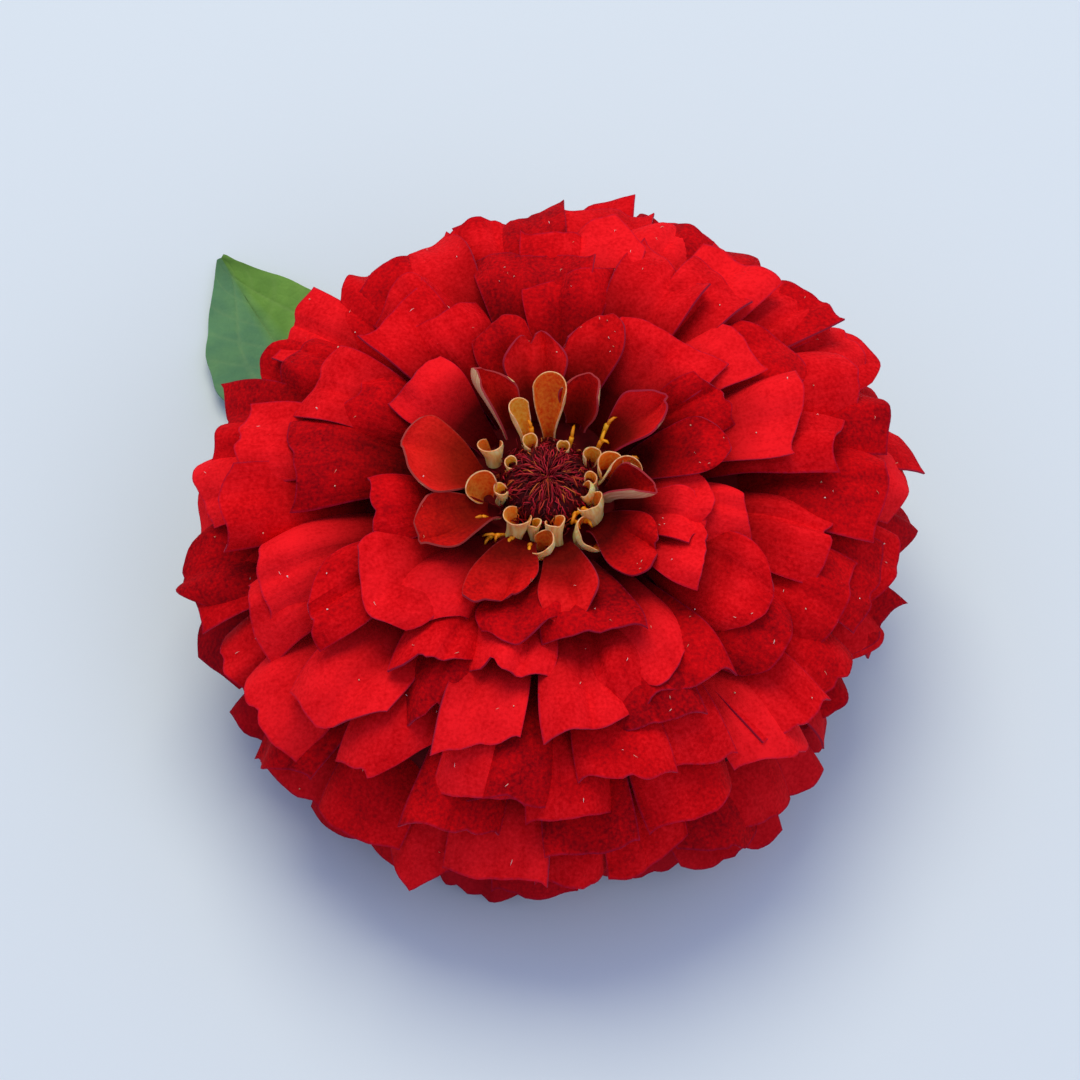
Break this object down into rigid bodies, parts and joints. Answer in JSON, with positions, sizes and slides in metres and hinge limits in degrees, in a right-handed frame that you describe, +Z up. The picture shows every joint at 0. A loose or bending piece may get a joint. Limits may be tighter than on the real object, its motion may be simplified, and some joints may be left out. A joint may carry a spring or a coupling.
{
  "type": "zinnia flower",
  "caption": "Fully double red zinnia bloom with a short cut stem and one leaf, lying face up",
  "frame": {"origin": "On the surface the flower lies on, under the middle of its outer box", "axes": "+Z up from the surface, the head faces up and tips 7 degrees toward -Y, the leaf points back and left toward +Y"},
  "size_m": [0.0952, 0.1086, 0.0499],
  "materials": {
    "petal_red": "velvety fresh petal",
    "young_ray_orange": "soft matte petal",
    "chaff_maroon": "dry matte chaff",
    "bract_green": "matte leaf skin",
    "stem_green": "ribbed matte stem",
    "leaf_green": "matte leaf skin"
  },
  "bodies": {
    "root": {"ray_florets": "petal_red", "young_rays": "young_ray_orange", "disc_chaff": "chaff_maroon", "involucre": "bract_green", "stem": "stem_green", "leaf": "leaf_green"}
  },
  "joints": []
}
